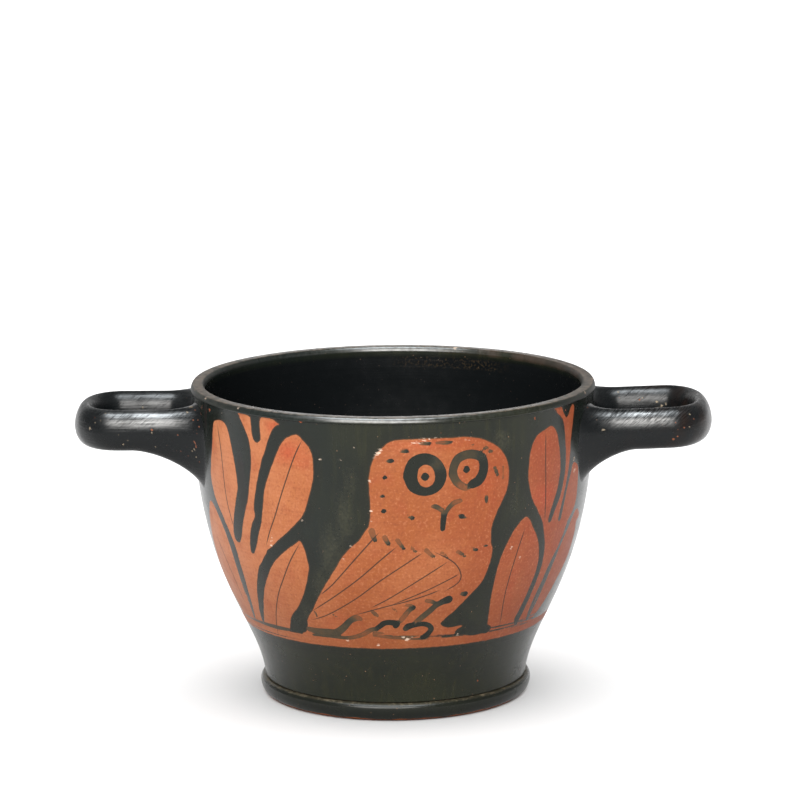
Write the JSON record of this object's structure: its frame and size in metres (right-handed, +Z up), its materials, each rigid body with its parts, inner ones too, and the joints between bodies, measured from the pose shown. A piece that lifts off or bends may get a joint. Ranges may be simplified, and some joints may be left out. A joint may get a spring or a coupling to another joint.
{
  "type": "skyphos",
  "caption": "Two-handled drinking cup with a ring foot, rolled lip and loop handles, black gloss with an owl between leafy sprigs.",
  "frame": {"origin": "on the cup's axis, at the surface that its foot stands on", "axes": "+Z up out of the mouth; the handles lie along X; the owl faces out along -Y"},
  "size_m": [0.1652, 0.1048, 0.082],
  "materials": {
    "painted_gloss": "black slip gloss with reserved orange clay pictures",
    "foot_gloss": "black slip gloss with bare clay under it",
    "handle_gloss": "black slip gloss, worn on the edges"
  },
  "bodies": {
    "root": {"bowl": "painted_gloss", "foot": "foot_gloss", "handle_left": "handle_gloss", "handle_right": "handle_gloss"}
  },
  "joints": []
}
